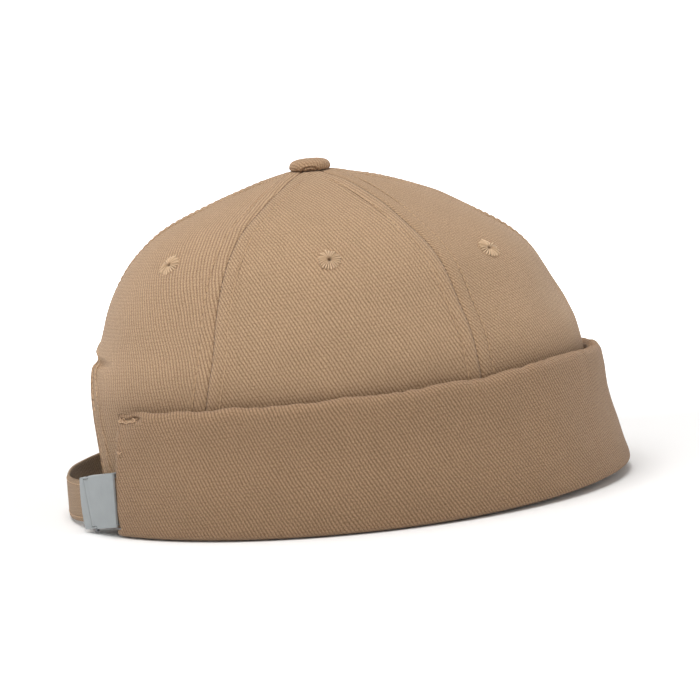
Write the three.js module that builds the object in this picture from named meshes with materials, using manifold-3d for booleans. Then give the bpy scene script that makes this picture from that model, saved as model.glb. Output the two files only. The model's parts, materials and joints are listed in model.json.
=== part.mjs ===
// Docker cap: a brimless six-panel crown with a turned-up cuff all round, and an arched
// opening at the back that a cloth strap with a flip buckle bridges.
// Millimetres. +X is the front of the cap, +Y the wearer's left, +Z up, and the cuff stands on Z = 0.
import * as THREE from "three";
import { mergeVertices } from "three/addons/utils/BufferGeometryUtils.js";
import Module from "manifold-3d";

const wasm = await Module();
wasm.setup();

// Driving sizes of the crown
const crownHeight = 124;
const frontReach = 106.5;
const backReach = 100;
const sideReach = 81;
const frontTaper = 0.06;
const clothWall = 1.3;
const panelPuff = 1.4;
const frontSeamAngle = 55.5;
const backSeamAngle = 118;
const seamGap = 0.3;

// Driving sizes of the cuff
const cuffHeightFront = 49.2;
const cuffHeightBack = 44.8;
const cuffRisePower = 0.6;
const cuffFlare = 0.3;
const cuffFrontFlare = 1.8;
const cuffWall = 2.8;
const cuffRimWall = 4.8;
const cuffPocket = 2.8;
const cuffFootWall = 2.5;
const cuffEndAngle = 140;

// Driving sizes of the back opening and the facing sewn inside its edge
const archHalfWidth = 42;
const archHeight = 60;
const archFullness = 2.1;
const facingReach = 6;
const facingWall = 0.8;

// Driving sizes of the strap
const strapWidth = 15.8;
const strapWall = 1.4;
const strapSeat = 0.9;
const strapBuckleStand = 2.2;
const strapApexStand = 2.9;
const strapApexHeight = 8.5;
const strapEndRight = { height: 14.2, sag: 2 };
const strapEndLeft = { height: 11.1, sag: 4 };
const strapTuckAngle = 131;

// Driving sizes of the flip buckle
const buckleAngle = 147;
const buckleLength = 18.5;
const buckleSheet = 0.6;
const buckleCoverWall = 0.9;
const buckleOverhang = 0.25;
const coverSlant = 3.8;
const noseSlant = 2.6;
const buckleNoseBulge = 0.9;
const buckleTailInset = 0.6;
const pinRadius = 0.6;
const pinInset = 3.65;
const pinEndProud = 1.0;
const earRadius = 1.5;
const leverTail = 1.2;
const leverShoulder = 2.0;
const leverChamfer = 0.25;
const pinToCover = 0.4;

// Driving sizes of the top button and the eyelets
const buttonRadius = 7.25;
const buttonHeight = 4.6;
const postRadius = 1.6;
const washerRadius = 5;
const washerWall = 0.8;
const eyeletRadius = 4;
const eyeletBore = 0.8;
const eyeletSleeveWall = 0.9;
const eyeletWall = 0.6;

// Clearances between pieces that touch on the real cap
const seat = 0.3;
const innerSeat = 0.5;
const eyeletSeat = 0.5;
const runningGap = 0.25;
const strapClear = 0.15;

const radians = (degrees) => (degrees * Math.PI) / 180;
const mix = (from, to, share) => from + (to - from) * share;
const ease = (share) => {
  const held = Math.min(1, Math.max(0, share));
  return held * held * (3 - 2 * held);
};

// Level sections of the crown, as shares of its height and of its reach to the front, back and side
const crownColumns = ["rise", "front", "back", "side"];
const crownSections = [
  [0.0, 1.0, 1.0, 1.0],
  [0.16, 0.958, 0.993, 0.994],
  [0.32, 0.926, 0.968, 0.975],
  [0.42, 0.909, 0.925, 0.957],
  [0.518, 0.881, 0.864, 0.93],
  [0.615, 0.82, 0.823, 0.883],
  [0.713, 0.753, 0.757, 0.821],
  [0.782, 0.67, 0.689, 0.747],
  [0.851, 0.54, 0.582, 0.636],
  [0.907, 0.418, 0.428, 0.5],
  [0.96, 0.256, 0.247, 0.302],
  [0.991, 0.098, 0.116, 0.13],
  [1.0, 0.0, 0.0, 0.0],
];

// Shallow dents of the soft crown: place by angle and height share, spread in degrees and
// height share, depth as a share of the cloth wall
const crownDents = [
  { angle: -14, rise: 0.57, turn: 13, tall: 0.07, depth: 1.1 },
  { angle: 22, rise: 0.5, turn: 15, tall: 0.08, depth: 0.9 },
  { angle: -92, rise: 0.48, turn: 16, tall: 0.06, depth: 0.8 },
  { angle: 100, rise: 0.55, turn: 15, tall: 0.08, depth: 1.0 },
  { angle: -132, rise: 0.6, turn: 12, tall: 0.09, depth: 0.7 },
  { angle: 140, rise: 0.64, turn: 12, tall: 0.08, depth: 0.9 },
];

// Soft waves of the cuff's top edge: angle, spread in degrees and lift as a share of the rim's wall
const cuffWaves = [
  { angle: -128, turn: 9, lift: -0.14 },
  { angle: -70, turn: 8, lift: 0.16 },
  { angle: -38, turn: 17, lift: 0.26 },
  { angle: -50, turn: 5, lift: -0.16 },
  { angle: 18, turn: 10, lift: -0.12 },
  { angle: 60, turn: 10, lift: 0.16 },
  { angle: 105, turn: 9, lift: -0.14 },
];

// A smooth curve through one column of the crown's table, level 0 at the edge and 1 at the top
function crownShare(column, level) {
  const at = crownColumns.indexOf(column);
  const last = crownSections.length - 1;
  const place = Math.min(last, Math.max(0, level * last));
  const row = Math.min(last - 1, Math.floor(place));
  const past = place - row;
  const mirrored = (index) => {
    if (index < 0) return 2 * crownSections[0][at] - crownSections[1][at];
    if (index <= last) return crownSections[index][at];
    const back = crownSections[2 * last - index][at];
    return column === "rise" ? back : -back;
  };
  const [p0, p1, p2, p3] = [row - 1, row, row + 1, row + 2].map(mirrored);
  const slope = (p2 - p0) * past;
  const bend = (2 * p0 - 5 * p1 + 4 * p2 - p3) * past * past;
  const twist = (3 * p1 - p0 - 3 * p2 + p3) * past * past * past;
  return 0.5 * (2 * p1 + slope + bend + twist);
}

// The value between low and high where a rising function reaches its goal
function solveRising(rising, goal, low = 0, high = 1) {
  for (let step = 0; step < 40; step += 1) {
    const middle = (low + high) / 2;
    if (rising(middle) < goal) low = middle;
    else high = middle;
  }
  return (low + high) / 2;
}

const levelAtHeight = (height) => solveRising((level) => crownShare("rise", level), height / crownHeight);

// Share of the way across its panel of an angle, 0 and 1 on the seams
function panelShare(angle) {
  const turn = Math.abs(angle);
  if (turn < frontSeamAngle) return turn / frontSeamAngle;
  if (turn < backSeamAngle) return (turn - frontSeamAngle) / (backSeamAngle - frontSeamAngle);
  return (turn - backSeamAngle) / (180 - backSeamAngle);
}

// How far a dent presses the crown in at an angle and a height share
function dentDepth(angle, rise) {
  let depth = 0;
  for (const dent of crownDents) {
    const across = (angle - dent.angle) / dent.turn;
    const along = (rise - dent.rise) / dent.tall;
    depth += dent.depth * clothWall * Math.exp(-across * across - along * along);
  }
  return depth;
}

// The crown's outer face: an oval at each level, puffed between the seams and dented
function crownPoint(angle, level) {
  const turn = radians(angle);
  const rise = crownShare("rise", level);
  const forward = Math.max(0, Math.cos(turn));
  const ahead = forward > 0 ? frontReach * crownShare("front", level) : backReach * crownShare("back", level);
  const aside = sideReach * crownShare("side", level) * (1 - frontTaper * forward ** 2);
  const puffUp = Math.sin(Math.PI * Math.min(1, Math.max(0, (rise - 0.35) / 0.65)));
  const puff = panelPuff * Math.sin(Math.PI * panelShare(angle)) * puffUp - dentDepth(angle, rise);
  const swell = 1 + (aside > puff * 4 ? puff / aside : 0);
  return new THREE.Vector3(ahead * swell * Math.cos(turn), aside * swell * Math.sin(turn), crownHeight * rise);
}

// Directions on the crown at a point: round it, up it, and out of it
function crownDirections(angle, level) {
  const step = 0.4;
  const lift = 0.004;
  const low = Math.max(0, level - lift);
  const high = Math.min(0.999, level + lift);
  const round = crownPoint(angle + step, level).sub(crownPoint(angle - step, level)).normalize();
  const up = crownPoint(angle, high).sub(crownPoint(angle, low)).normalize();
  const out = round.clone().cross(up).normalize();
  return { round, up, out };
}

// A point at a height and a level distance out from the crown's outer face
function besideCrown(angle, height, distance) {
  const level = levelAtHeight(height);
  const { round } = crownDirections(angle, level);
  const out = new THREE.Vector3(round.y, -round.x, 0).normalize();
  return crownPoint(angle, level).addScaledVector(out, distance);
}

// A closed geometry from corners and triangles, turned so that its faces point out
function closedGeometry(corners, triangles) {
  let volume = 0;
  for (const [a, b, c] of triangles) {
    volume += corners[a].dot(corners[b].clone().cross(corners[c]));
  }
  const flip = volume < 0;
  const geometry = new THREE.BufferGeometry();
  geometry.setAttribute("position", new THREE.Float32BufferAttribute(corners.flatMap((p) => p.toArray()), 3));
  geometry.setIndex(triangles.flatMap(([a, b, c]) => (flip ? [a, c, b] : [a, b, c])));
  return geometry;
}

// A closed sheet between two grids of points of the same size
function sheetSolid(outer, inner) {
  const rows = outer.length;
  const columns = outer[0].length;
  const corners = [...outer.flat(), ...inner.flat()];
  const half = rows * columns;
  const at = (row, column) => row * columns + column;
  const triangles = [];
  const quad = (a, b, c, d) => triangles.push([a, b, c], [a, c, d]);
  for (let row = 0; row + 1 < rows; row += 1) {
    for (let column = 0; column + 1 < columns; column += 1) {
      const [a, b, c, d] = [at(row, column), at(row, column + 1), at(row + 1, column + 1), at(row + 1, column)];
      quad(a, b, c, d);
      quad(half + d, half + c, half + b, half + a);
    }
  }
  for (let row = 0; row + 1 < rows; row += 1) {
    const [first, next] = [at(row, 0), at(row + 1, 0)];
    const [lastHere, lastNext] = [at(row, columns - 1), at(row + 1, columns - 1)];
    quad(next, half + next, half + first, first);
    quad(lastHere, half + lastHere, half + lastNext, lastNext);
  }
  for (let column = 0; column + 1 < columns; column += 1) {
    const [low, lowNext] = [at(0, column), at(0, column + 1)];
    const [top, topNext] = [at(rows - 1, column), at(rows - 1, column + 1)];
    quad(low, half + low, half + lowNext, lowNext);
    quad(topNext, half + topNext, half + top, top);
  }
  return closedGeometry(corners, triangles);
}

// A closed bar through rings of corners, its two ends filled after the flat outline of the section
function barSolid(rings, outline) {
  const count = outline.length;
  const corners = rings.flat();
  const triangles = [];
  for (let ring = 0; ring + 1 < rings.length; ring += 1) {
    for (let side = 0; side < count; side += 1) {
      const next = (side + 1) % count;
      const [a, b] = [ring * count + side, ring * count + next];
      triangles.push([a, b, b + count], [a, b + count, a + count]);
    }
  }
  const lastRing = (rings.length - 1) * count;
  const flat = outline.map(([across, up]) => new THREE.Vector2(across, up));
  const wound = THREE.ShapeUtils.isClockWise(flat);
  for (const [a, b, c] of THREE.ShapeUtils.triangulateShape(flat, [])) {
    const [p, q] = wound ? [b, c] : [c, b];
    triangles.push([a, p, q]);
    triangles.push([lastRing + a, lastRing + q, lastRing + p]);
  }
  return closedGeometry(corners, triangles);
}

// Joins and cuts of closed geometries
function toSolid(geometry) {
  const bare = geometry.clone();
  bare.deleteAttribute("normal");
  bare.deleteAttribute("uv");
  const merged = mergeVertices(bare, 1e-5);
  const vertProperties = new Float32Array(merged.attributes.position.array);
  const triVerts = new Uint32Array(merged.index.array);
  return new wasm.Manifold(new wasm.Mesh({ numProp: 3, vertProperties, triVerts }));
}

function toGeometry(solid) {
  const mesh = solid.getMesh();
  const geometry = new THREE.BufferGeometry();
  geometry.setAttribute("position", new THREE.BufferAttribute(new Float32Array(mesh.vertProperties), 3));
  geometry.setIndex(new THREE.BufferAttribute(new Uint32Array(mesh.triVerts), 1));
  return geometry;
}

const joined = (...geometries) => toGeometry(geometries.map(toSolid).reduce((sum, next) => sum.add(next)));
const cut = (geometry, ...tools) =>
  toGeometry(tools.map(toSolid).reduce((rest, tool) => rest.subtract(tool), toSolid(geometry)));

// Where a cut cloth edge of the crown runs above the cuff's foot
const crownEdgeHeight = cuffFootWall + seat;
const postClear = postRadius + seat;
const tipLevel = solveRising((level) => -crownShare("side", level) * sideReach, -postClear, 0.9, 1);

// The crown's panels: the seams at their two sides, the eyelet's place as shares across the panel
// and up the crown, and whether the back opening is cut into them
const panels = [
  { name: "front_right", from: -frontSeamAngle, to: 0, across: 0.34, rise: 0.744, open: false },
  { name: "side_right", from: -backSeamAngle, to: -frontSeamAngle, across: 0.5, rise: 0.772, open: false },
  { name: "back_right", from: -180, to: -backSeamAngle, across: 0.64, rise: 0.777, open: true },
  { name: "back_left", from: backSeamAngle, to: 180, across: 0.36, rise: 0.777, open: true },
  { name: "side_left", from: frontSeamAngle, to: backSeamAngle, across: 0.5, rise: 0.772, open: false },
  { name: "front_left", from: 0, to: frontSeamAngle, across: 0.66, rise: 0.744, open: false },
];

// The opening's edge: half its width at a share of a quarter turn up its arch, and the height there
const archSteps = 11;
function archEdge(share) {
  const turn = share * Math.PI * 0.5;
  const power = 2 / archFullness;
  const height = mix(crownEdgeHeight, archHeight, Math.sin(turn) ** power);
  return { height, halfWidth: archHalfWidth * Math.max(0, Math.cos(turn)) ** power };
}

// The angle from the front at which the crown is a given distance from the cap's middle plane
function backAngleAt(level, distance) {
  return solveRising((angle) => -crownPoint(angle, level).y, -distance, 110, 180);
}

const archEdgeAngle = ({ height, halfWidth }) => backAngleAt(levelAtHeight(height), halfWidth);

// Rows of a panel: each with its level and the two angles between which it runs
function panelRows(panel) {
  const rows = [];
  const steps = 16;
  const edgeLevel = levelAtHeight(crownEdgeHeight);
  let startLevel = edgeLevel;
  if (panel.open) {
    for (let step = 0; step < archSteps; step += 1) {
      const edge = archEdge(step / archSteps);
      const turn = archEdgeAngle(edge);
      const level = levelAtHeight(edge.height);
      rows.push(panel.from < 0 ? { level, from: -turn, to: panel.to } : { level, from: panel.from, to: turn });
    }
    rows.push({ level: levelAtHeight(archHeight), from: panel.from, to: panel.to });
    startLevel = levelAtHeight(archHeight + facingReach);
  }
  rows.push({ level: startLevel, from: panel.from, to: panel.to });
  for (let step = 1; step < steps; step += 1) {
    const level = step / steps;
    if (level > startLevel + 0.3 / steps && level < tipLevel - 0.3 / steps) {
      rows.push({ level, from: panel.from, to: panel.to });
    }
  }
  rows.push({ level: tipLevel, from: panel.from, to: panel.to });
  return rows;
}

// Where a panel's eyelet sits, and the way out of the cloth there
function eyeletPlace(panel) {
  const angle = mix(panel.from, panel.to, panel.across);
  const level = levelAtHeight(panel.rise * crownHeight);
  return { point: crownPoint(angle, level), out: crownDirections(angle, level).out };
}

// Stands a piece made about the Z axis on a point, its Z axis along a direction
function standOn(geometry, point, direction) {
  const turned = new THREE.Quaternion().setFromUnitVectors(new THREE.Vector3(0, 0, 1), direction);
  return geometry.applyQuaternion(turned).translate(point.x, point.y, point.z);
}

// A round bar about the Z axis between two heights
function roundBar(radius, bottom, top, sides = 16) {
  const bar = new THREE.CylinderGeometry(radius, radius, top - bottom, sides);
  return bar.rotateX(Math.PI / 2).translate(0, 0, (top + bottom) / 2);
}

const eyeletHoleRadius = eyeletBore + eyeletSleeveWall + seat;

// One cloth panel of the crown, with the hole for its eyelet
function crownPanel(panel) {
  const columns = 10;
  const outer = [];
  const inner = [];
  for (const row of panelRows(panel)) {
    const outerRow = [];
    const innerRow = [];
    for (let column = 0; column < columns; column += 1) {
      const angle = mix(row.from, row.to, column / (columns - 1));
      const { round, out } = crownDirections(angle, row.level);
      const point = crownPoint(angle, row.level);
      if (column === 0) point.addScaledVector(round, seamGap / 2);
      if (column === columns - 1) point.addScaledVector(round, -seamGap / 2);
      outerRow.push(point);
      innerRow.push(point.clone().addScaledVector(out, -clothWall));
    }
    outer.push(outerRow);
    inner.push(innerRow);
  }
  const { point, out } = eyeletPlace(panel);
  const drill = standOn(roundBar(eyeletHoleRadius, -clothWall * 3, clothWall * 3, 12), point, out);
  return cut(sheetSolid(outer, inner), drill);
}

// A stitched eyelet: a sleeve through the panel with a ring on each face
function eyelet(panel) {
  const { point, out } = eyeletPlace(panel);
  const sleeve = eyeletBore + eyeletSleeveWall;
  const inside = -clothWall - eyeletSeat;
  const profile = [
    [eyeletBore, inside - eyeletWall],
    [eyeletRadius * 0.8, inside - eyeletWall],
    [eyeletRadius * 0.8, inside],
    [sleeve, inside],
    [sleeve, eyeletSeat],
    [eyeletRadius, eyeletSeat],
    [eyeletRadius * 0.86, eyeletSeat + eyeletWall],
    [eyeletBore * 1.5, eyeletSeat + eyeletWall],
    [eyeletBore, eyeletSeat + eyeletWall * 0.5],
    [eyeletBore, inside - eyeletWall],
  ].map(([radius, height]) => new THREE.Vector2(radius, height));
  return standOn(new THREE.LatheGeometry(profile, 14).rotateX(Math.PI / 2), point, out);
}

// The height of the cuff's top edge: highest at the front, with its soft waves
function cuffTop(angle) {
  const end = Math.cos(radians(cuffEndAngle));
  const ahead = Math.max(0, Math.cos(radians(angle)) - end) / (1 - end);
  let lift = 0;
  for (const wave of cuffWaves) {
    lift += wave.lift * cuffRimWall * Math.exp(-(((angle - wave.angle) / wave.turn) ** 2));
  }
  return mix(cuffHeightBack, cuffHeightFront, ahead ** cuffRisePower) + lift;
}

// Outline of the cuff: a foot under the crown's edge, a wall that stands off the crown and a rolled rim
function cuffOutline(angle) {
  const top = cuffTop(angle);
  const flare = cuffFlare + cuffFrontFlare * Math.max(0, Math.cos(radians(angle))) ** 2;
  const outside = cuffPocket + cuffWall;
  const rimOut = outside + (cuffRimWall - cuffWall) * 0.45;
  const rimIn = rimOut - cuffRimWall;
  const round = cuffWall * 0.9;
  return [
    [-clothWall, cuffFootWall * 0.35],
    [-clothWall * 0.5, 0],
    [outside - round, 0],
    [outside - round * 0.25, round * 0.3],
    [outside + flare, round],
    [outside, top * 0.45],
    [rimOut, top * 0.84],
    [rimOut - 0.2, top - cuffRimWall * 0.5],
    [mix(rimIn, rimOut, 0.8), top - cuffRimWall * 0.14],
    [mix(rimIn, rimOut, 0.5), top],
    [mix(rimIn, rimOut, 0.2), top - cuffRimWall * 0.14],
    [rimIn, top - cuffRimWall * 0.5],
    [rimIn + 0.3, top * 0.84],
    [cuffPocket, top * 0.55],
    [cuffPocket, cuffFootWall + 0.5],
    [cuffPocket - 0.5, cuffFootWall],
    [-clothWall, cuffFootWall],
  ];
}

// The turned-up cuff, a band open at the back
function cuff() {
  const stations = 44;
  const rings = [];
  for (let station = 0; station <= stations; station += 1) {
    const angle = mix(-cuffEndAngle, cuffEndAngle, station / stations);
    rings.push(cuffOutline(angle).map(([distance, height]) => besideCrown(angle, height, distance)));
  }
  return barSolid(rings, cuffOutline(cuffEndAngle));
}

// The path of the faced edge, as angle and height: along the crown's bared lower edge to the
// corner and over the arch to its middle, then mirrored
function facingPath() {
  const half = [];
  const startAngle = cuffEndAngle + 0.5;
  const cornerAngle = archEdgeAngle(archEdge(0));
  const bottomSteps = 3;
  for (let step = 0; step < bottomSteps; step += 1) {
    half.push({ angle: mix(startAngle, cornerAngle, step / bottomSteps), height: crownEdgeHeight });
  }
  for (let step = 0; step <= archSteps; step += 1) {
    const edge = archEdge(step / archSteps);
    half.push({ angle: archEdgeAngle(edge), height: edge.height });
  }
  const mirrored = half.slice(0, -1).reverse().map(({ angle, height }) => ({ angle: -angle, height }));
  return [...half, ...mirrored];
}

// The strip of cloth sewn to the opening's edge and turned inside
function openingFacing() {
  const face = -clothWall - innerSeat;
  const outline = [
    [facingReach, face],
    [-seat, face],
    [-seat, 0],
    [-seat - facingWall * 0.6, -0.1],
    [-seat - facingWall, -0.5],
    [-seat - facingWall, face - facingWall * 0.4],
    [-seat, face - facingWall],
    [facingReach, face - facingWall],
  ];
  const path = facingPath().map(({ angle, height }) => ({ angle, level: levelAtHeight(height) }));
  const points = path.map(({ angle, level }) => crownPoint(angle, level));
  const last = points.length - 1;
  const rings = points.map((point, index) => {
    const out = crownDirections(path[index].angle, path[index].level).out;
    const before = point.clone().sub(points[Math.max(0, index - 1)]).normalize();
    const after = points[Math.min(last, index + 1)].clone().sub(point).normalize();
    const along = before.clone().add(after).normalize();
    const into = out.clone().cross(along).normalize();
    const turned = index > 0 && index < last ? before.dot(after) : 1;
    const mitre = Math.sqrt(2 / (1 + turned));
    return outline.map(([reach, stand]) => {
      return point.clone().addScaledVector(into, reach * mitre).addScaledVector(out, stand);
    });
  });
  return barSolid(rings, outline);
}

// Share of the way from the middle of the back to the cuff's end
const strapShare = (angle) => (180 - Math.abs(angle)) / (180 - cuffEndAngle);

// How far the strap's inner face stands off the crown's line at an angle
function strapStand(angle) {
  const outOfPocket = ease((Math.abs(angle) - cuffEndAngle + 0.2) / 1.6);
  const toApex = ease(1 - strapShare(angle) * 1.25);
  return mix(mix(strapSeat, strapBuckleStand, outOfPocket), strapApexStand, toApex);
}

// The height of the strap's centre line: it sags from the cuff's ends to the middle of the back
function strapHeight(angle) {
  const end = angle < 0 ? strapEndRight : strapEndLeft;
  return mix(strapApexHeight, end.height, Math.min(1, strapShare(angle)) ** end.sag);
}

// A stretch of the cloth strap between two angles, counted on past 180 round the back
function strapStretch(fromAngle, toAngle, stations) {
  const half = strapWidth / 2;
  const soft = strapWall * 0.3;
  const outline = [
    [0, -half + soft],
    [soft, -half],
    [strapWall - soft, -half],
    [strapWall, -half + soft],
    [strapWall, half - soft],
    [strapWall - soft, half],
    [soft, half],
    [0, half - soft],
  ];
  const rings = [];
  for (let station = 0; station <= stations; station += 1) {
    const angle = mix(fromAngle, toAngle, station / stations);
    const turn = angle > 180 ? angle - 360 : angle;
    const middle = strapHeight(turn);
    const inner = strapStand(turn);
    rings.push(outline.map(([stand, up]) => besideCrown(turn, middle + up, inner + stand)));
  }
  return barSolid(rings, outline);
}

// The buckle's own axes: u along the strap to the cuff's end, w up across the strap, n out of the cap
function buckleFrame() {
  const angle = -buckleAngle;
  const height = strapHeight(angle);
  const step = 2;
  const along = (turn) => besideCrown(turn, strapHeight(turn), 0);
  const u = along(angle + step).sub(along(angle - step)).normalize();
  const level = new THREE.Vector3(u.y, -u.x, 0).normalize();
  const w = level.clone().cross(u).normalize();
  const n = u.clone().cross(w).normalize();
  const origin = besideCrown(angle, height, 0);
  return new THREE.Matrix4().makeBasis(u, w, n).setPosition(origin);
}

// Heights of the buckle's layers above the crown's face
const baseTop = seat + buckleSheet;
const strapTop = strapBuckleStand + strapWall;
const pinHeight = strapTop + leverTail + strapClear;
const coverBottom = pinHeight + pinToCover;
const coverTop = coverBottom + buckleCoverWall;
const strapHalf = strapWidth / 2;
const earInner = strapHalf + 0.3;
const earOuter = earInner + buckleSheet;
const cheekInner = earOuter + runningGap;
const cheekOuter = cheekInner + buckleSheet;
const coverHalf = cheekOuter + buckleOverhang;
const buckleHalf = buckleLength / 2;
const pinAlong = -buckleHalf + pinInset;
const boreRadius = pinRadius + runningGap;
const stripEdge = pinAlong - (coverTop - pinHeight) - runningGap;
const tailRadius = Math.hypot(leverTail, coverTop - leverChamfer - pinHeight);
const shoulderRadius = Math.hypot(leverShoulder, pinToCover);

// An outline in the u and n axes, pushed along w between two heights
function acrossBuckle(corners, low, high, hole) {
  const shape = new THREE.Shape(corners.map(([along, out]) => new THREE.Vector2(along, out)));
  if (hole) shape.holes.push(new THREE.Path().absarc(hole.along, hole.out, hole.radius, 0, Math.PI * 2, true));
  const bar = new THREE.ExtrudeGeometry(shape, { depth: high - low, bevelEnabled: false, curveSegments: 8 });
  return bar.rotateX(Math.PI / 2).translate(0, high, 0);
}

// A round bar along the pin's axis
const alongPin = (radius, low, high) =>
  roundBar(radius, low, high, 16).rotateX(-Math.PI / 2).translate(pinAlong, 0, pinHeight);

// The buckle's frame: a base under the strap, two cheeks that hold the pin and a nose strip over the strap
function buckleFramePiece() {
  const frameTail = buckleHalf - buckleTailInset;
  const cheekRise = 0.7;
  const cheekRound = [];
  const steps = 4;
  const roundRadius = shoulderRadius - runningGap * 0.6;
  const top = coverTop - pinHeight;
  for (let step = 0; step <= steps; step += 1) {
    const out = mix(pinToCover - seat, top, step / steps);
    cheekRound.push([pinAlong + Math.sqrt(roundRadius ** 2 - out ** 2), pinHeight + out]);
  }
  const cheek = [
    [-buckleHalf, seat],
    [frameTail, seat],
    [frameTail, baseTop + cheekRise],
    ...cheekRound,
    [-buckleHalf, coverTop],
  ];
  const hole = { along: pinAlong, out: pinHeight, radius: boreRadius };
  const base = [
    [-buckleHalf, seat],
    [frameTail, seat],
    [frameTail, baseTop],
    [-buckleHalf, baseTop],
  ];
  const nose = new THREE.Shape();
  nose.moveTo(stripEdge, -cheekOuter);
  nose.lineTo(stripEdge, cheekOuter);
  nose.lineTo(-buckleHalf, cheekOuter);
  const noseLow = -buckleHalf - noseSlant;
  const noseControl = -buckleHalf - noseSlant / 2 - buckleNoseBulge * 2;
  nose.quadraticCurveTo(noseControl, 0, noseLow, -cheekOuter);
  const strip = new THREE.ExtrudeGeometry(nose, { depth: buckleCoverWall, bevelEnabled: false, curveSegments: 10 });
  strip.translate(0, 0, coverBottom);
  return joined(
    acrossBuckle(base, -cheekOuter, cheekOuter),
    acrossBuckle(cheek, cheekInner, cheekOuter, hole),
    acrossBuckle(cheek, -cheekOuter, -cheekInner, hole),
    cut(strip, alongPin(tailRadius + runningGap, -cheekInner, cheekInner)),
  );
}

// The buckle's lever: a flat cover with its free edge along the cuff's end, on two ears about the pin
function buckleLever() {
  const tail = pinAlong - leverTail;
  const shoulder = pinAlong + leverShoulder;
  const face = new THREE.Shape();
  face.moveTo(shoulder, -coverHalf);
  face.lineTo(buckleHalf, -coverHalf);
  face.lineTo(buckleHalf + coverSlant, coverHalf);
  face.lineTo(shoulder, coverHalf);
  const plate = new THREE.ExtrudeGeometry(face, { depth: buckleCoverWall, bevelEnabled: false });
  plate.translate(0, 0, coverBottom);
  const narrow = acrossBuckle([
    [tail, coverBottom],
    [shoulder + 1, coverBottom],
    [shoulder + 1, coverTop],
    [tail + leverChamfer, coverTop],
    [tail, coverTop - leverChamfer],
  ], -earOuter, earOuter);
  const ear = (low, high) => joined(
    alongPin(earRadius, low, high),
    acrossBuckle([
      [pinAlong, pinHeight - earRadius * 0.9],
      [pinAlong + earRadius * 2.4, coverBottom + 0.1],
      [pinAlong, coverBottom + 0.1],
    ], low, high),
  );
  const bore = alongPin(boreRadius, -coverHalf - 1, coverHalf + 1);
  const body = joined(
    plate,
    narrow,
    ear(earInner, earOuter),
    ear(-earOuter, -earInner),
  );
  return cut(body, bore);
}

const bucklePin = () => alongPin(pinRadius, -coverHalf - pinEndProud, cheekOuter + 0.2);

// The cloth-covered button, hollow round the post's top
function buttonCover() {
  const bottom = crownHeight + seat;
  const round = [];
  const steps = 6;
  for (let step = 0; step <= steps; step += 1) {
    const turn = radians(mix(-20, 90, step / steps));
    const out = buttonRadius * (0.93 * Math.cos(turn) ** 0.8 + 0.07 * Math.cos(turn));
    round.push([out, bottom + buttonHeight * (0.26 + 0.74 * Math.sin(turn))]);
  }
  const profile = [
    [postClear, bottom + 0.1],
    [buttonRadius * 0.86, bottom],
    ...round.slice(0, -1),
    [0, bottom + buttonHeight],
    [0, bottom + buttonHeight * 0.7],
    [postClear, bottom + buttonHeight * 0.7],
    [postClear, bottom + 0.1],
  ].map(([radius, height]) => new THREE.Vector2(radius, height));
  return new THREE.LatheGeometry(profile, 24).rotateX(Math.PI / 2);
}

// The hidden post that holds the button, with a washer inside the crown
function buttonPost() {
  const under = crownHeight - clothWall - innerSeat;
  const top = crownHeight + seat + buttonHeight * 0.7 - seat;
  const profile = [
    [0, under - washerWall],
    [washerRadius, under - washerWall],
    [washerRadius, under],
    [postRadius, under],
    [postRadius, top],
    [0, top],
  ].map(([radius, height]) => new THREE.Vector2(radius, height));
  return new THREE.LatheGeometry(profile, 16).rotateX(Math.PI / 2);
}

// Finishes of the real pieces
const finish = (color, roughness, metalness) => new THREE.MeshStandardMaterial({ color, roughness, metalness });
const twill = finish(0xb0936f, 0.9, 0);
const cuffTwill = finish(0x9c8062, 0.9, 0);
const thread = finish(0xa98c68, 0.85, 0);
const paintedSteel = finish(0x9da1a2, 0.5, 0.2);
const bareSteel = finish(0x5f6366, 0.4, 0.9);

const cap = new THREE.Group();

function addPiece(parent, name, geometry, material) {
  const mesh = new THREE.Mesh(geometry, material);
  mesh.name = name;
  parent.add(mesh);
  return mesh;
}

for (const panel of panels) {
  addPiece(cap, `crown_panel_${panel.name}`, crownPanel(panel), twill);
  addPiece(cap, `eyelet_${panel.name}`, eyelet(panel), thread);
}
addPiece(cap, "cuff", cuff(), cuffTwill);
addPiece(cap, "opening_facing", openingFacing(), twill);
addPiece(cap, "button_cover", buttonCover(), twill);
addPiece(cap, "button_post", buttonPost(), bareSteel);

// The long strap comes from the left, the short one from the right, and they meet under the buckle
const strapMeetAngle = buckleAngle - 2.5;
const strapMeetGap = 0.12;
addPiece(cap, "strap_long", strapStretch(strapTuckAngle, 360 - strapMeetAngle - strapMeetGap, 30), twill);
addPiece(cap, "strap_short", strapStretch(-strapMeetAngle + strapMeetGap, -strapTuckAngle, 10), twill);

const buckle = new THREE.Group();
buckle.applyMatrix4(buckleFrame());
addPiece(buckle, "buckle_frame", buckleFramePiece(), paintedSteel);
addPiece(buckle, "buckle_lever", buckleLever(), paintedSteel);
addPiece(buckle, "buckle_pin", bucklePin(), bareSteel);
cap.add(buckle);

// The cap's own frame has its origin under the middle of its length
const bounds = new THREE.Box3().setFromObject(cap, true);
cap.position.x = -(bounds.min.x + bounds.max.x) / 2;

export default cap;
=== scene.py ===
import json
import math
import bmesh
import bpy
import numpy as np
from mathutils import Matrix, Vector, noise


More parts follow.
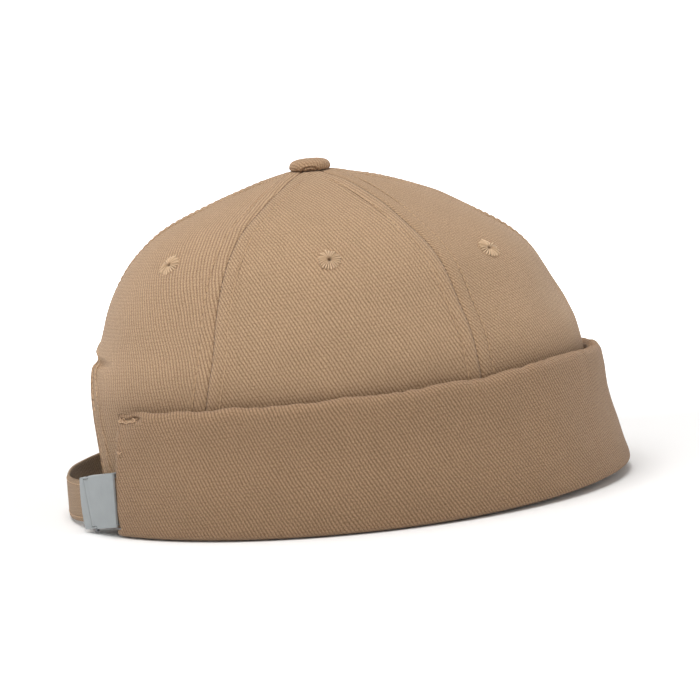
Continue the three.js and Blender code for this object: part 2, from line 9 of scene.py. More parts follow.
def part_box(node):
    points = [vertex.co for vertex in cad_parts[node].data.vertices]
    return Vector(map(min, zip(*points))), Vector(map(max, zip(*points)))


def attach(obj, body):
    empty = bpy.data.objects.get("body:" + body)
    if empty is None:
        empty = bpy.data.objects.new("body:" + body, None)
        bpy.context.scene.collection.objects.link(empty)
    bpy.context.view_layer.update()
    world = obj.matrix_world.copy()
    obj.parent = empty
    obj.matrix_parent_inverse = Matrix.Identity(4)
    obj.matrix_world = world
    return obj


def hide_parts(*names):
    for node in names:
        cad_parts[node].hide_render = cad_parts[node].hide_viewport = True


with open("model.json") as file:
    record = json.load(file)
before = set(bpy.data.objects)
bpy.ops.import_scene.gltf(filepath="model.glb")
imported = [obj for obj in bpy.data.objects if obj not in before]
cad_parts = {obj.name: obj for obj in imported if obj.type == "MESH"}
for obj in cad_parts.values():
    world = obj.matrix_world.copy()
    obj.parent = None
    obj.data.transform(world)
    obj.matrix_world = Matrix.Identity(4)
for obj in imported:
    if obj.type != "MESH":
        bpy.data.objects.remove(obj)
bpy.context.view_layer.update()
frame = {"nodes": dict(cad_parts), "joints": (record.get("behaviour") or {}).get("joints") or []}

# The crown
# Six gores of tan cotton twill, two layers thick, joined by seams that run from the button to the
# lower edge. All lengths are millimetres until a mesh is made; angles are degrees from the front.
mm = 0.001
crown_height = 124.0
front_reach = 106.5
back_reach = 100.0
side_reach = 81.0
front_taper = 0.06
cloth_wall = 1.3
panel_puff = 1.4
front_seam = 55.5
back_seam = 118.0
lower_edge = 2.8
tip_radius = 1.9

crown_columns = ["rise", "front", "back", "side"]
crown_sections = np.array([
    [0.0, 1.0, 1.0, 1.0],
    [0.16, 0.958, 0.993, 0.994],
    [0.32, 0.926, 0.968, 0.975],
    [0.42, 0.909, 0.925, 0.957],
    [0.518, 0.881, 0.864, 0.93],
    [0.615, 0.82, 0.823, 0.883],
    [0.713, 0.753, 0.757, 0.821],
    [0.782, 0.67, 0.689, 0.747],
    [0.851, 0.54, 0.582, 0.636],
    [0.907, 0.418, 0.428, 0.5],
    [0.96, 0.256, 0.247, 0.302],
    [0.991, 0.098, 0.116, 0.13],
    [1.0, 0.0, 0.0, 0.0],
])

# Shallow dents of the soft crown: angle, height share, spread in degrees and height share, depth
crown_dents = [
    (-14, 0.57, 13, 0.07, 1.1),
    (22, 0.5, 15, 0.08, 0.9),
    (-92, 0.48, 16, 0.06, 0.8),
    (100, 0.55, 15, 0.08, 1.0),
    (-132, 0.6, 12, 0.09, 0.7),
    (140, 0.64, 12, 0.08, 0.9),
]
button_low, button_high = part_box("button_cover")
crown_axis = (button_low[0] + button_high[0]) / 2 / mm


def crown_share(column, level):
    """A smooth curve through one column of the sections, level 0 at the edge and 1 at the top"""
    shares = crown_sections[:, crown_columns.index(column)]
    beyond = shares[-2] if column == "rise" else -shares[-2]
    knots = np.concatenate([[2 * shares[0] - shares[1]], shares, [beyond]])
    place = np.clip(np.asarray(level, float), 0, 1) * (len(shares) - 1)
    row = np.minimum(place.astype(int), len(shares) - 2)
    past = place - row
    p0, p1, p2, p3 = (knots[row + step] for step in range(4))
    bend = (2 * p0 - 5 * p1 + 4 * p2 - p3) * past ** 2
    return 0.5 * (2 * p1 + (p2 - p0) * past + bend + (3 * p1 - p0 - 3 * p2 + p3) * past ** 3)


def level_at(height):
    """The level of a height above the lower edge's plane"""
    levels = np.linspace(0, 1, 4001)
    return np.interp(np.asarray(height) / crown_height, crown_share("rise", levels), levels)


def crown_point(angle, level):
    """The crown's outer face: an oval at each level, puffed between the seams and dented"""
    angle, level = np.broadcast_arrays(np.asarray(angle, float), np.asarray(level, float))
    turn = np.radians(angle)
    rise = crown_share("rise", level)
    forward = np.maximum(0, np.cos(turn))
    to_front = front_reach * crown_share("front", level)
    to_back = back_reach * crown_share("back", level)
    ahead = np.where(forward > 0, to_front, to_back)
    aside = side_reach * crown_share("side", level) * (1 - front_taper * forward ** 2)
    around = np.abs((angle + 180) % 360 - 180)
    side_share = (around - front_seam) / (back_seam - front_seam)
    across = np.where(around < front_seam, around / front_seam, side_share)
    across = np.where(around > back_seam, (around - back_seam) / (180 - back_seam), across)
    puff = panel_puff * np.sin(math.pi * across) * np.sin(math.pi * np.clip((rise - 0.35) / 0.65, 0, 1))
    for dent_angle, dent_rise, turn_spread, rise_spread, depth in crown_dents:
        off = ((angle - dent_angle) / turn_spread) ** 2 + ((rise - dent_rise) / rise_spread) ** 2
        puff = puff - depth * cloth_wall * np.exp(-off)
    swell = 1 + np.where(aside > puff * 4, puff / np.maximum(aside, tip_radius / 4), 0)
    x = ahead * swell * np.cos(turn) + crown_axis
    return np.stack([x, aside * swell * np.sin(turn), crown_height * rise], axis=-1)


def unit(vectors):
    return vectors / np.maximum(np.linalg.norm(vectors, axis=-1, keepdims=True), 1e-9)


def crown_ways(angle, level):
    """The directions round the crown, up it and out of it"""
    angle, level = np.asarray(angle), np.asarray(level)
    round_way = unit(crown_point(angle + 0.4, level) - crown_point(angle - 0.4, level))
    low, high = np.maximum(0, level - 0.004), np.minimum(0.999, level + 0.004)
    up_way = unit(crown_point(angle, high) - crown_point(angle, low))
    return round_way, up_way, unit(np.cross(round_way, up_way))


def run_length(points):
    """Length along a row of points, from 0"""
    steps = np.linalg.norm(np.diff(points, axis=0), axis=1)
    return np.concatenate([[0], np.cumsum(steps)])


# The arched back opening's edge, a superellipse from the lower edge to its top
arch_half_width = 42.0
arch_top = 60.0
arch_fullness = 2.1


def arch_half(height):
    share = np.clip((np.asarray(height) - lower_edge) / (arch_top - lower_edge), 0, 1)
    return arch_half_width * (1 - share ** arch_fullness) ** (1 / arch_fullness)


def arch_angle(height):
    """Degrees from the front at which the opening's edge is at a height"""
    angles = np.linspace(100, 180, 161)
    aside = crown_point(angles, level_at(height))[:, 1]
    return float(np.interp(arch_half(height), aside[::-1], angles[::-1]))


arch_turns = np.linspace(0, math.pi / 2, 90)
arch_heights = lower_edge + (arch_top - lower_edge) * np.sin(arch_turns) ** (2 / arch_fullness)
arch_angles = np.array([arch_angle(height) for height in arch_heights])
arch_line = crown_point(arch_angles, level_at(arch_heights))
arch_line = np.concatenate([arch_line, (arch_line * [1, -1, 1])[::-1]])


def from_arch(points):
    """Distance of each point from the opening's edge"""
    start, end = arch_line[:-1], arch_line[1:]
    along = end - start
    length = np.maximum((along ** 2).sum(1), 1e-12)
    share = np.clip(((points[..., None, :] - start) * along).sum(-1) / length, 0, 1)
    foot = start + along * share[..., None]
    return np.linalg.norm(points[..., None, :] - foot, axis=-1).min(-1)


def smooth(value, low, high):
    share = np.clip((value - low) / (high - low), 0, 1)
    return share * share * (3 - 2 * share)


def bell(value, middle, spread):
    return np.exp(-((value - middle) / spread) ** 2)


# What sewing does to the cloth beside a seam and along the opening's hem, and how far the strap
# draws it in at the top of the opening and above it
topstitch_offset = 5.5
hem_stitch_offset = 1.8
hem_width = 5.6
nick_depth = 1.6
hollow_depth = 0.8


def seam_relief(distance):
    valley = -0.17 * bell(distance, 0, 0.45)
    allowance = 0.3 * (1 - smooth(distance, 5.5, 8.5)) * smooth(distance, 0.2, 1.6)
    return valley + allowance - 0.2 * bell(distance, topstitch_offset, 0.6)


def hem_relief(distance):
    roll = -0.75 * bell(distance, 0, 0.55)
    fold = 0.45 * (1 - smooth(distance, hem_width - 0.2, hem_width + 0.8))
    return roll + fold - 0.24 * bell(distance, hem_stitch_offset, 0.45)


def back_pull(angle, height):
    """How far the strap draws the cloth in at the top of the back opening and above it"""
    around = np.abs((np.asarray(angle) + 180) % 360 - 180)
    nick = nick_depth * bell(height, arch_top + 0.2, 1.5)
    hollow = hollow_depth * bell(height, arch_top + 12, 9)
    return smooth(around, 150, 164) * np.maximum(nick, hollow)


def soft_unevenness(points, coarse, fine):
    """Low swells of hand-shaped cloth, the same each run"""
    flat = points.reshape(-1, 3)
    slow = np.array([coarse * noise.noise(Vector(point * 0.035)) for point in flat])
    quick = np.array([fine * noise.noise(Vector(point * 0.11)) for point in flat])
    return (slow + quick).reshape(points.shape[:-1])


def make_piece(name, corners, faces, material, layers):
    """A mesh object from corners in millimetres, with its cloth coordinates as UV layers"""
    mesh = bpy.data.meshes.new(name)
    mesh.from_pydata((np.asarray(corners).reshape(-1, 3) * mm).tolist(), [], faces)
    order = np.zeros(len(mesh.loops), dtype=np.int64)
    mesh.loops.foreach_get("vertex_index", order)
    for layer_name, values in layers.items():
        layer = mesh.uv_layers.new(name=layer_name)
        layer.data.foreach_set("uv", np.asarray(values, float).reshape(-1, 2)[order].ravel())
    mesh.polygons.foreach_set("use_smooth", [True] * len(mesh.polygons))
    mesh.materials.append(material)
    mesh.validate()
    piece = bpy.data.objects.new(name, mesh)
    bpy.context.scene.collection.objects.link(piece)
    return piece


def sheet_faces(rows, columns, dropped):
    """Faces of a closed sheet between two grids, with a wall round every edge and dropped cell"""
    kept = ~dropped
    half = rows * columns
    bordered = np.pad(kept, 1)
    faces = []
    for row, column in zip(*np.nonzero(kept)):
        a, b = row * columns + column, row * columns + column + 1
        c, d = b + columns, a + columns
        a, b, c, d = int(a), int(b), int(c), int(d)
        faces.append((a, b, c, d))
        faces.append((half + d, half + c, half + b, half + a))
        sides = [
            (row, column + 1, b, a),
            (row + 1, column + 2, c, b),
            (row + 2, column + 1, d, c),
            (row + 1, column, a, d),
        ]
        for beside_row, beside_column, p, q in sides:
            if not bordered[beside_row, beside_column]:
                faces.append((p, q, half + q, half + p))
    return faces


# Columns of a gore are close together beside its seams, where the sewing shapes the cloth
near_seam = np.array([0, 0.2, 0.45, 0.75, 1.1, 1.6, 2.4, 3.4, 4.4, 4.9, 5.2, 5.5, 5.8, 6.1, 6.6, 7.6])
middle_columns = 22
row_step = 0.95
near_arch_top = (-0.65, -0.4, -0.2, -0.08, -0.02, 0.0, 0.35, 0.7, 1.1, 1.6, 2.2)
eyelet_gap = 1.5
eyelet_dimple = 0.3

# A gore's seams and its eyelet: angles of both sides, share across and up of the eyelet, open or not
gores = {
    "front_right": (-front_seam, 0.0, 0.34, 0.744, False),
    "side_right": (-back_seam, -front_seam, 0.5, 0.772, False),
    "back_right": (-180.0, -back_seam, 0.64, 0.777, True),
    "back_left": (back_seam, 180.0, 0.36, 0.777, True),
    "side_left": (front_seam, back_seam, 0.5, 0.772, False),
    "front_left": (0.0, front_seam, 0.66, 0.744, False),
}


def eyelet_place(gore):
    """The middle of a gore's eyelet and the directions round, up and out there"""
    start, end, across, rise, _ = gores[gore]
    angle = start + (end - start) * across
    level = level_at(rise * crown_height)
    round_way, up_way, out_way = crown_ways(angle, level)
    return crown_point(angle, level), round_way, up_way, out_way


def gore_rows(spine, is_open):
    """Levels of a gore's rows, closest at the top of the arch, and the run up its middle line"""
    levels = np.linspace(0.9, 1, 4001)
    tip_level = float(np.interp(-tip_radius, -side_reach * crown_share("side", levels), levels))
    fine = np.linspace(float(level_at(lower_edge)), tip_level, 900)
    arc = run_length(crown_point(spine, fine))
    rows = list(np.interp(np.arange(0, arc[-1], row_step), arc, fine)) + [tip_level]
    if is_open:
        rows += [float(level_at(arch_top + off)) for off in near_arch_top]
    return np.unique(np.round(np.sort(rows), 6)), fine, arc


def gore_mesh(gore):
    """Corners, faces and cloth coordinates of one gore, with its seams, hem and eyelet hole"""
    start, end, *_, is_open = gores[gore]
    spine = (start + end) / 2
    rows, fine, arc = gore_rows(spine, is_open)
    count = 2 * len(near_seam) + middle_columns
    far_away = np.full(count, 99.0)
    outer, inner, cloth, sewing = [], [], [], []
    for level in rows:
        height = crown_height * float(crown_share("rise", level))
        below_arch = is_open and height < arch_top - 1e-4
        open_left = below_arch and start < 0
        open_right = below_arch and start > 0
        left = -arch_angle(height) if open_left else start
        right = arch_angle(height) if open_right else end
        dense = np.linspace(start, end, 60)
        dense_run = run_length(crown_point(dense, level))
        left_run, right_run = np.interp([left, right], dense, dense_run)
        width = right_run - left_run
        reach = near_seam * min(1, width / (near_seam[-1] * 2.3))
        between = np.linspace(reach[-1], width - reach[-1], middle_columns + 2)[1:-1]
        runs = np.concatenate([reach, between, width - reach[::-1]])
        angles = np.interp(left_run + runs, dense_run, dense)
        points = crown_point(angles, level)
        out = crown_ways(angles, level)[2]
        from_left, from_right = runs, width - runs
        off_arch = from_arch(points) if is_open else far_away
        seam_holds = smooth(off_arch, 0.3, 2.5)
        lift = np.zeros(count)
        if not open_left:
            lift = lift + seam_relief(from_left) * (seam_holds if start == -180 else 1)
        if not open_right:
            lift = lift + seam_relief(from_right) * (seam_holds if end == 180 else 1)
        lift = lift * smooth(width, 2, 12)
        if is_open:
            lift = lift + hem_relief(off_arch) * (1 - smooth(height, arch_top + 5.5, arch_top + 8))
        pull = back_pull(angles, height)
        outer.append(points + out * (lift - pull)[:, None])
        inner.append(points - out * (cloth_wall + pull)[:, None])
        climb = float(np.interp(level, fine, arc))
        spine_run = np.interp(spine, dense, dense_run)
        cloth.append(np.stack([left_run + runs - spine_run, np.full(count, climb)], axis=-1))
        near_left = far_away if open_left else from_left
        near_right = far_away if open_right else from_right
        sewing.append(np.stack([np.minimum(near_left, near_right), np.full(count, climb)], axis=-1))
    outer, inner = np.array(outer), np.array(inner)
    out_all = unit(outer - inner)
    place = eyelet_place(gore)[0]
    off_eyelet = np.linalg.norm(outer - place, axis=-1)
    swell = soft_unevenness(outer, 0.5, 0.16) * smooth(np.array(sewing)[..., 0], 0, 5)
    outer = outer + out_all * (swell - eyelet_dimple * bell(off_eyelet, 0, 5.5))[..., None]
    centres = (outer[:-1, :-1] + outer[1:, 1:]) / 2
    dropped = np.linalg.norm(centres - place, axis=-1) < eyelet_gap
    faces = sheet_faces(len(rows), count, dropped)
    corners = np.concatenate([outer.reshape(-1, 3), inner.reshape(-1, 3)])
    cloth, sewing = (np.array(layer).reshape(-1, 2) for layer in (cloth, sewing))
    layers = {"cloth": np.concatenate([cloth, cloth]), "sewing": np.concatenate([sewing, sewing])}
    return corners, faces, layers


class Shade:
    """An output of a shader node. Arithmetic on it adds Math nodes to the same material."""

    def __init__(self, tree, output=None):
        self.tree = tree
        self.output = output

    def node(self, kind, settings, inputs, out=0):
        made = self.tree.nodes.new(kind)
        for key, value in settings.items():
            setattr(made, key, value)
        for key, value in inputs.items():
            if isinstance(value, Shade):
                self.tree.links.new(value.output, made.inputs[key])
            else:
                made.inputs[key].default_value = value
        return Shade(self.tree, made.outputs[out])

    def math(self, operation, *others):
        inputs = dict(enumerate((self, *others)))
        return self.node("ShaderNodeMath", {"operation": operation}, inputs)

    def __add__(self, other):
        return self.math("ADD", other)

    __radd__ = __add__

    def __sub__(self, other):
        return self.math("SUBTRACT", other)

    def __rsub__(self, other):
        return self.node("ShaderNodeMath", {"operation": "SUBTRACT"}, {0: other, 1: self})

    def __mul__(self, other):
        return self.math("MULTIPLY", other)

    __rmul__ = __mul__

    def __truediv__(self, other):
        return self.math("DIVIDE", other)

    def __pow__(self, other):
        return self.math("POWER", other)

    def hump(self):
        """0 at whole numbers, 1 halfway between them, and rounded in between"""
        return (self.math("FRACT") * math.pi).math("SINE")

    def tint(self, low, high):
        """A colour between two, this value being the share of the second"""
        return self.node("ShaderNodeMix", {"data_type": "RGBA"}, {0: self, 6: low, 7: high}, out=2)

    def darkened(self, other):
        """This colour times another"""
        settings = {"data_type": "RGBA", "blend_type": "MULTIPLY"}
        return self.node("ShaderNodeMix", settings, {0: 1.0, 6: self, 7: other}, out=2)

    def held(self):
        """This value kept between 0 and 1"""
        return self.math("MAXIMUM", 0.0).math("MINIMUM", 1.0)

    def parts(self, *axes):
        """This vector's numbers along the axes"""
        split = self.node("ShaderNodeSeparateXYZ", {}, {"Vector": self})
        return [Shade(self.tree, split.output.node.outputs[axis]) for axis in axes]

    def mottle(self, scale, detail, **settings):
        """Noise over these coordinates"""
        inputs = {"Vector": self, "Scale": scale, "Detail": detail}
        return self.node("ShaderNodeTexNoise", settings, inputs)

    def bump(self, strength, depth):
        """A normal with this value as its relief, at most depth metres deep"""
        inputs = {"Strength": strength, "Distance": depth, "Height": self}
        return self.node("ShaderNodeBump", {}, inputs)


def start_finish(name, constants):
    """A new material: its shader with what is the same all over, and a first Shade to build on"""
    material = bpy.data.materials.new(name)
    material.use_nodes = True
    shader = material.node_tree.nodes["Principled BSDF"]
    for socket, value in constants.items():
        shader.inputs[socket].default_value = value
    return material, shader, Shade(material.node_tree)


def feed(shader, socket, shade):
    shade.tree.links.new(shade.output, shader.inputs[socket])


def srgb(red, green, blue):
    """A paint-chart colour, 0 to 255, as the shader's linear one"""
    shares = [value / 255 for value in (red, green, blue)]
    linear = [s / 12.92 if s <= 0.04045 else ((s + 0.055) / 1.055) ** 2.4 for s in shares]
    return (*linear, 1.0)


# The twill: raised wales run from upper left to lower right, each made of short warp floats
wale_pitch = 1.2
wale_lean = math.radians(61)
float_length = 1.5
twill_feel = {
    "Roughness": 0.92,
    "Sheen Weight": 0.12,
    "Sheen Roughness": 0.6,
    "Specular IOR Level": 0.2,
}

# The seams' lockstitch shows as pricks and a dark line, the topstitching as needle holes
needle_pitch = 1.9
stitch_pitch = 2.7
seam_shadow = (0.3, 0.24, 0.19, 1)


def twill_finish(name, light, dark, needle_holes=False, lean=wale_lean, contrast=1.0, painted_foot_shade=None):
    """Twill seen close. Its painted foot shade gives the heights between which painted shade at its
    foot fades out, and how dark it is
    """
    material, shader, start = start_finish(name, twill_feel)
    cloth = start.node("ShaderNodeUVMap", {"uv_map": "cloth"}, {})
    u, v = cloth.parts(0, 1)
    wander = cloth.mottle(0.06, 2.0, noise_dimensions="2D")
    grain = cloth.mottle(1.3, 1.0, noise_dimensions="2D")
    across = (u * math.sin(lean) + v * math.cos(lean) + wander * 1.5 + grain * 0.3) / wale_pitch
    along = (v * math.sin(lean) - u * math.cos(lean)) / float_length
    wale = across.hump()
    floats = (along + across.math("FLOOR") * 0.37 + grain * 0.8).hump()
    height = (wale ** 0.9) * (floats * 0.4 + 0.6)
    fuzz = cloth.mottle(3.0, 3.0, noise_dimensions="2D")
    blotch = cloth.mottle(0.05, 4.0, noise_dimensions="2D")
    share = (height * 0.72 + (fuzz - 0.5) * 2.0 + 0.1) * contrast + (1 - contrast) * 0.55
    worn = ((blotch - 0.5) * 0.7 + 0.5).held().tint((0.93, 0.93, 0.93, 1), (1.06, 1.05, 1.05, 1))
    color = share.held().tint(dark, light).darkened(worn)
    # Painted shade: the colour darkens towards the bottom, standing in for the shadow near the cuff's
    # rim or the floor
    if painted_foot_shade:
        low, high, depth = painted_foot_shade
        place = start.node("ShaderNodeTexCoord", {}, {}, out="Object")
        level = place.parts(2)[0]
        rise = ((level - low * mm) / ((high - low) * mm)).held()
        shadow = (depth, depth * 0.985, depth * 0.97, 1)
        color = color.darkened((rise ** 0.7).tint(shadow, (1, 1, 1, 1)))
    if needle_holes:
        sewing = start.node("ShaderNodeUVMap", {"uv_map": "sewing"}, {})
        off_seam, climb = sewing.parts(0, 1)
        at_seam = 1 - (off_seam / 0.42).math("MINIMUM", 1.0)
        dash = (climb / needle_pitch + grain * 0.3).hump() ** 2.0
        at_row = 1 - ((off_seam - topstitch_offset).math("ABSOLUTE") / 0.45).math("MINIMUM", 1.0)
        prick = (climb / stitch_pitch + grain * 0.2).hump() ** 6.0
        groove = at_seam * (dash * 0.95 + 0.02) + at_row * (prick * 0.6 + 0.03)
        color = color.darkened((groove * 0.75).tint((1, 1, 1, 1), seam_shadow))
        height = height - groove * 1.2
    feed(shader, "Base Color", color)
    relief = height * 0.85 + fuzz * 0.35
    feed(shader, "Normal", relief.bump(0.85, 0.0003))
    return material


crown_light = srgb(204, 172, 138)
crown_dark = srgb(126, 97, 70)
# Painted shade on the crown just above the cuff's rim: 0.78 at 47 mm, fading out by 61 mm
crown_painted_shade = (47.0, 61.0, 0.78)
crown_twill = twill_finish(
    "tan crown twill", crown_light, crown_dark, needle_holes=True, painted_foot_shade=crown_painted_shade)

for gore in gores:
    corners, faces, layers = gore_mesh(gore)
    panel = make_piece(f"crown_cloth_{gore}", corners, faces, crown_twill, layers)
    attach(panel, "cap")
    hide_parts(f"crown_panel_{gore}")

# The topstitching
# Two rows of tan thread beside every seam, and two round the hem of the back opening, which hold
# the seam allowances flat. Each stitch dips into the cloth at its needle holes.
thread_radius = 0.19
stitch_shares = np.array([0, 0.07, 0.22, 0.5, 0.78, 0.93, 1])
stitch_widths = np.array([0.35, 0.8, 1, 1.05, 1, 0.8, 0.35])
stitch_lifts = np.array([-1.0, -0.35, 0.2, 0.4, 0.2, -0.35, -1.0])
thread_sides = 6


def whole_turn(count):
    """Even steps once round, in radians"""
    return np.arange(count) * 2 * math.pi / count


def at_stops(stops, length, values):
    """Rows of values read off at stops along their length"""
    return np.stack([np.interp(stops, length, column) for column in values.T], axis=-1)


def tube_faces(rings, sides, first=0):
    """Faces of a tube of rings with both its ends shut, its corners numbered from first"""
    faces = [tuple(range(first, first + sides))]
    for ring in range(rings - 1):
        foot = first + ring * sides
        for step in range(sides):
            a, b = foot + step, foot + (step + 1) % sides
            faces.append((b, a, a + sides, b + sides))
    last = first + (rings - 1) * sides
    faces.append(tuple(reversed(range(last, last + sides))))
    return faces


def sew(name, rows, material, radius=thread_radius, pitch=stitch_pitch, fill=0.86):
    """One mesh of separate stitches along rows of (points, out directions)"""
    corners, faces, layer = [], [], []
    for points, outs in rows:
        length = run_length(points)
        stops = np.arange(0, length[-1], pitch)
        seats = at_stops(stops, length, points)
        ways = unit(at_stops(stops, length, outs))
        for first, last, out in zip(seats[:-1], seats[1:], ways[:-1]):
            along = last - first
            size = np.linalg.norm(along)
            side = unit(np.cross(along, out))
            base = len(corners)
            for share, wide, lift in zip(stitch_shares, stitch_widths, stitch_lifts):
                centre = first + along * ((1 - fill) / 2 + fill * share) + out * lift * radius
                for turn in whole_turn(thread_sides):
                    ring = side * math.cos(turn) + out * math.sin(turn)
                    corners.append(centre + ring * radius * wide)
                    layer.append((share * size, turn))
            stitch = tube_faces(len(stitch_shares), thread_sides, base)
            faces += [face[::-1] for face in stitch]
    piece = make_piece(name, np.array(corners), faces, material, {"cloth": layer})
    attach(piece, "cap")


def thread_finish(name, light, dark):
    """Spun cotton thread, with its twist across each stitch"""
    material, shader, start = start_finish(
        name, {"Roughness": 0.7, "Sheen Weight": 0.2, "Specular IOR Level": 0.35})
    cloth = start.node("ShaderNodeUVMap", {"uv_map": "cloth"}, {})
    run, turn = cloth.parts(0, 1)
    twist = (run / 0.55 + turn / (2 * math.pi)).hump()
    feed(shader, "Base Color", (twist ** 0.6).tint(dark, light))
    feed(shader, "Normal", twist.bump(0.5, 0.00006))
    return material


tan_thread = thread_finish("tan sewing thread", srgb(203, 170, 134), srgb(160, 126, 94))


def seam_row(seam, offset, low, high):
    """A row of stitching beside a seam, between two heights"""
    levels = np.linspace(float(level_at(low)), float(level_at(high)), 160)
    reach = np.linalg.norm(crown_point(seam + 0.5, levels) - crown_point(seam - 0.5, levels), axis=-1)
    angles = seam + offset / reach
    points, outs = crown_point(angles, levels), crown_ways(angles, levels)[2]
    return points + outs * (0.16 - back_pull(angles, points[:, 2]))[:, None], outs


def arch_row(offset):
    """A row of stitching inside the opening's hem, from one lower end over the arch to the other"""
    heights = np.concatenate([arch_heights, arch_heights[-2::-1]])
    angles = np.concatenate([arch_angles, 360 - arch_angles[-2::-1]])
    levels = level_at(heights)
    points = crown_point(angles, levels)
    outs = crown_ways(angles, levels)[2]
    along = unit(np.gradient(points, axis=0))
    into = unit(np.cross(along, outs))
    keep = points[:, 2] > lower_edge + 2
    seat = points - into * offset
    stand = 0.28 - back_pull(angles, seat[:, 2])
    return (seat + outs * stand[:, None])[keep], outs[keep]


topstitch_top = 121.0
topstitch_low = 30.0
rows = []
for seam in (-back_seam, -front_seam, 0.0, front_seam, back_seam, 180.0):
    low = arch_top + hem_width + 1 if seam == 180.0 else topstitch_low
    for offset in (-topstitch_offset, topstitch_offset):
        rows.append(seam_row(seam, offset, low, topstitch_top))
sew("crown_topstitching", rows, tan_thread)
sew("hem_topstitching", [arch_row(hem_stitch_offset), arch_row(hem_width - 0.5)], tan_thread)

# The eyelets
# Six vent holes, one in each gore, each worked round with about two dozen radial stitches of
# matching thread that pull the cloth into a slight dimple.
eyelet_stitches = 23
ripple_steps = 6
length_spread = 0.17
fullness_spread = 0.25
stitch_notch = 0.32
stitch_rise = 0.75
stitch_seat = 0.66

# The worked ring's section: radius, lift off the cloth, how far it takes the stitches' form
eyelet_profile = np.array([
    [0.62, -2.1, 0.0],
    [0.6, -0.6, 0.0],
    [0.64, 0.0, 0.3],
    [0.85, 0.28, 0.7],
    [1.3, 0.38, 1.0],
    [2.0, 0.38, 1.0],
    [2.8, 0.3, 1.0],
    [3.5, 0.18, 1.0],
    [3.95, 0.0, 0.9],
    [4.15, -0.25, 0.5],
    [3.9, -0.5, 0.0],
    [3.2, -1.9, 0.0],
    [2.6, -2.3, 0.4],
    [1.2, -2.4, 0.4],
])
random = np.random.default_rng(23)


def embroidery_finish(name, light, gap):
    """Close radial stitches, with painted shade in the gaps between them that deepens towards the hole
    """
    material, shader, start = start_finish(
        name, {"Roughness": 0.65, "Sheen Weight": 0.2, "Specular IOR Level": 0.35})
    cloth = start.node("ShaderNodeUVMap", {"uv_map": "cloth"}, {})
    reach, ripple = cloth.parts(0, 1)
    strand = (reach / 0.42 + ripple * 0.6).hump()
    # Painted shade: darker in the gaps between stitches and towards the hole
    lit = (ripple ** 0.75) * ((reach / 1.3).math("MINIMUM", 1.0) * 0.6 + 0.4)
    feed(shader, "Base Color", (lit * 0.85 + strand * 0.15).tint(gap, light))
    feed(shader, "Normal", strand.bump(0.4, 0.00006))
    return material


eyelet_thread = embroidery_finish("tan embroidery thread", srgb(226, 196, 161), srgb(116, 88, 64))


def eyelet_mesh(gore):
    """A worked ring of uneven stitches round a gore's eyelet"""
    place, round_way, up_way, out_way = eyelet_place(gore)
    around = eyelet_stitches * ripple_steps
    turns = whole_turn(around)
    stitch = np.arange(around) // ripple_steps
    ripple = np.abs(np.sin(turns * eyelet_stitches / 2))
    longer = 1 + length_spread * random.uniform(-1, 1, eyelet_stitches)[stitch]
    fuller = 1 + fullness_spread * random.uniform(-1, 1, eyelet_stitches)[stitch]
    corners, layer = [], []
    for radius, lift, worked in eyelet_profile:
        spread = radius * (1 + (longer - 1) * smooth(radius, 2.0, 4.0) * worked)
        notch = 1 - stitch_notch * worked * (1 - ripple) * smooth(radius, 2.0, 4.0)
        relief = stitch_rise * (ripple ** 0.6 * fuller - stitch_seat)
        rise = lift + worked * relief * (1 if lift > -1 else -0.3)
        spoke = round_way * np.cos(turns)[:, None] + up_way * np.sin(turns)[:, None]
        ring = place + spoke * (spread * notch)[:, None] + out_way * rise[:, None]
        corners.append(ring)
        layer.append(np.stack([np.full(around, radius), ripple], axis=-1))
    rings = len(eyelet_profile)
    faces = []
    for ring in range(rings):
        for step in range(around):
            a, b = ring * around + step, ring * around + (step + 1) % around
            c = ((ring + 1) % rings) * around + (step + 1) % around
            d = ((ring + 1) % rings) * around + step
            faces.append((a, b, c, d))
    return np.concatenate(corners), faces, {"cloth": np.concatenate(layer)}


for gore in gores:
    corners, faces, layers = eyelet_mesh(gore)
    worked_hole = make_piece(f"embroidered_eyelet_{gore}", corners, faces, eyelet_thread, layers)
    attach(worked_hole, "cap")
    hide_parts(f"eyelet_{gore}")

# The button
# A metal button covered with a disc of the crown's twill, gathered under its rim and fixed through
# the meeting point of the six seams. The cloth creases in crescents on its near side.
button_radius = 7.9
button_shift = -0.4
button_sink = 0.1
button_height = 4.5
button_profile = np.array([
    [0.0, 1.0],
    [0.2, 0.998],
    [0.42, 0.98],
    [0.62, 0.935],
    [0.79, 0.84],
    [0.91, 0.7],
    [0.975, 0.52],
    [1.0, 0.32],
    [0.985, 0.17],
    [0.93, 0.06],
    [0.84, 0.01],
    [0.6, 0.0],
    [0.3, 0.03],
])
crease_width = 4.2
crease_height = 2.3
crease_depth = 0.5
gather_depth = 0.1
around = 96
fine_shares = np.linspace(0, len(button_profile) - 1, 60)
radii = np.interp(fine_shares, np.arange(len(button_profile)), button_profile[:, 0]) * button_radius
lifts = np.interp(fine_shares, np.arange(len(button_profile)), button_profile[:, 1]) * button_height
radii[1:-1] = (radii[:-2] + 2 * radii[1:-1] + radii[2:]) / 4
lifts[1:-1] = (lifts[:-2] + 2 * lifts[1:-1] + lifts[2:]) / 4
drape = run_length(np.stack([radii, lifts], axis=-1))
turns = whole_turn(around)
corners, layer = [], []
